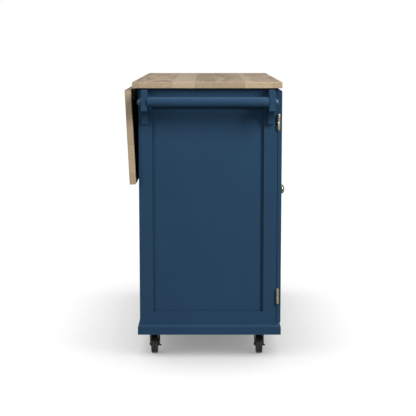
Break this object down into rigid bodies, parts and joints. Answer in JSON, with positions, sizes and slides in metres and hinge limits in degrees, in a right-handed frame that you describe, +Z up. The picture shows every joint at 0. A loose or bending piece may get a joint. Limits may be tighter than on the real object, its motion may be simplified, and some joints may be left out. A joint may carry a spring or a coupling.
{
  "type": "kitchen island cart",
  "caption": "Rolling kitchen island cabinet with cupboard doors, drawers, towel bar, wooden top and a hinged drop leaf.",
  "frame": {"origin": "on the floor, at the bottom centre of the box that holds the whole cart with its leaf hanging", "axes": "+Z up, +X along the cabinet away from the towel bar, -Y towards the doors and drawers, +Y towards the drop leaf"},
  "size_m": [1.1664, 0.5364, 0.914],
  "materials": {
    "top_wood": "weathered grey-brown oak look, matt lacquer",
    "blue_paint": "navy blue satin paint on board",
    "inner_board": "navy blue satin paint on board",
    "drawer_wood": "clear-sealed pine",
    "brass": "satin brass",
    "dark_brass": "antique brass plate",
    "steel": "zinc plate",
    "wheel_black": "black moulded tread",
    "bumper_rubber": "soft pad"
  },
  "bodies": {
    "cabinet": {"back_panel": "blue_paint", "base_mouldings": "blue_paint", "bottom_board": "inner_board", "caster_plates": "dark_brass", "divider_left": "inner_board", "divider_right": "inner_board", "door_catches": "steel", "door_hinge_pins": "brass", "door_hinge_plates": "brass", "drawer_runners": "drawer_wood", "end_panel_left": "blue_paint", "end_panel_right": "blue_paint", "end_rails_left": "blue_paint", "end_rails_right": "blue_paint", "end_stiles_left": "blue_paint", "end_stiles_right": "blue_paint", "leaf_bumpers": "bumper_rubber", "leaf_hinge_pins": "steel", "leaf_hinge_plates": "steel", "shelf_left": "inner_board", "shelf_pins": "steel", "shelf_right": "inner_board", "stay_brackets": "steel", "top_rails": "blue_paint", "towel_bar": "blue_paint", "towel_bar_caps": "blue_paint", "towel_brackets": "blue_paint", "worktop": "top_wood"},
    "leaf": {"drop_leaf": "top_wood", "leaf_hinge_straps": "steel"},
    "stay_left": {"stay_arm_left": "steel"},
    "stay_right": {"stay_arm_right": "steel"},
    "door_left": {"door_frame_left": "blue_paint", "door_panel_left": "blue_paint", "door_hinge_leaves_left": "brass", "door_knob_left": "brass"},
    "door_right": {"door_frame_right": "blue_paint", "door_panel_right": "blue_paint", "door_hinge_leaves_right": "brass", "door_knob_right": "brass"},
    "drawer_top": {"drawer_front_top": "blue_paint", "drawer_box_top": "drawer_wood", "drawer_knob_top": "brass"},
    "drawer_middle": {"drawer_front_middle": "blue_paint", "drawer_box_middle": "drawer_wood", "drawer_knob_middle": "brass"},
    "drawer_bottom": {"drawer_front_bottom": "blue_paint", "drawer_box_bottom": "drawer_wood", "drawer_knob_bottom": "brass"},
    "caster_left_front": {"caster_fork_left_front": "dark_brass"},
    "wheel_left_front": {"caster_wheel_left_front": "wheel_black"},
    "brake_left_front": {"caster_brake_left_front": "dark_brass"},
    "caster_left_back": {"caster_fork_left_back": "dark_brass"},
    "wheel_left_back": {"caster_wheel_left_back": "wheel_black"},
    "brake_left_back": {"caster_brake_left_back": "dark_brass"},
    "caster_right_front": {"caster_fork_right_front": "dark_brass"},
    "wheel_right_front": {"caster_wheel_right_front": "wheel_black"},
    "caster_right_back": {"caster_fork_right_back": "dark_brass"},
    "wheel_right_back": {"caster_wheel_right_back": "wheel_black"}
  },
  "joints": [
    {"name": "door_left_swing", "type": "hinge", "parent": "cabinet", "child": "door_left", "pos_m": [-0.52105, -0.23083, 0.784], "axis": [0, 0, -1], "range_deg": [0, 135]},
    {"name": "door_right_swing", "type": "hinge", "parent": "cabinet", "child": "door_right", "pos_m": [0.56955, -0.23083, 0.784], "axis": [0, 0, 1], "range_deg": [0, 135]},
    {"name": "drawer_top_slide", "type": "slide", "parent": "cabinet", "child": "drawer_top", "axis": [0, -1, 0], "range_m": [0, 0.3]},
    {"name": "drawer_middle_slide", "type": "slide", "parent": "cabinet", "child": "drawer_middle", "axis": [0, -1, 0], "range_m": [0, 0.3]},
    {"name": "drawer_bottom_slide", "type": "slide", "parent": "cabinet", "child": "drawer_bottom", "axis": [0, -1, 0], "range_m": [0, 0.3]},
    {"name": "leaf_swing", "type": "hinge", "parent": "cabinet", "child": "leaf", "pos_m": [0.02425, 0.24437, 0.89], "axis": [1, 0, 0], "range_deg": [0, 92.63]},
    {"name": "stay_left_swing", "type": "hinge", "parent": "cabinet", "child": "stay_left", "pos_m": [-0.30575, 0.23037, 0.76939], "axis": [1, 0, 0], "range_deg": [0, 135]},
    {"name": "stay_right_swing", "type": "hinge", "parent": "cabinet", "child": "stay_right", "pos_m": [0.35425, 0.23037, 0.76939], "axis": [1, 0, 0], "range_deg": [0, 135]},
    {"name": "caster_left_front_swivel", "type": "hinge", "parent": "cabinet", "child": "caster_left_front", "pos_m": [-0.43675, -0.17263, 0.085], "axis": [0, 0, 1], "continuous": true},
    {"name": "wheel_left_front_spin", "type": "hinge", "parent": "caster_left_front", "child": "wheel_left_front", "pos_m": [-0.45875, -0.17263, 0.03175], "axis": [0, 1, 0], "continuous": true},
    {"name": "brake_left_front_press", "type": "hinge", "parent": "caster_left_front", "child": "brake_left_front", "pos_m": [-0.43275, -0.18733, 0.068], "axis": [0, -1, 0], "range_deg": [0, 15]},
    {"name": "caster_left_back_swivel", "type": "hinge", "parent": "cabinet", "child": "caster_left_back", "pos_m": [-0.43675, 0.17937, 0.085], "axis": [0, 0, 1], "continuous": true},
    {"name": "wheel_left_back_spin", "type": "hinge", "parent": "caster_left_back", "child": "wheel_left_back", "pos_m": [-0.45875, 0.17937, 0.03175], "axis": [0, 1, 0], "continuous": true},
    {"name": "brake_left_back_press", "type": "hinge", "parent": "caster_left_back", "child": "brake_left_back", "pos_m": [-0.43275, 0.16467, 0.068], "axis": [0, -1, 0], "range_deg": [0, 15]},
    {"name": "caster_right_front_swivel", "type": "hinge", "parent": "cabinet", "child": "caster_right_front", "pos_m": [0.48525, -0.17263, 0.085], "axis": [0, 0, 1], "continuous": true},
    {"name": "wheel_right_front_spin", "type": "hinge", "parent": "caster_right_front", "child": "wheel_right_front", "pos_m": [0.46325, -0.17263, 0.03175], "axis": [0, 1, 0], "continuous": true},
    {"name": "caster_right_back_swivel", "type": "hinge", "parent": "cabinet", "child": "caster_right_back", "pos_m": [0.48525, 0.17937, 0.085], "axis": [0, 0, 1], "continuous": true},
    {"name": "wheel_right_back_spin", "type": "hinge", "parent": "caster_right_back", "child": "wheel_right_back", "pos_m": [0.46325, 0.17937, 0.03175], "axis": [0, 1, 0], "continuous": true}
  ],
  "couplings": [
    {"joint": "stay_left_swing", "follows": "leaf_swing", "ratio": 1.4574},
    {"joint": "stay_right_swing", "follows": "leaf_swing", "ratio": 1.4574}
  ]
}
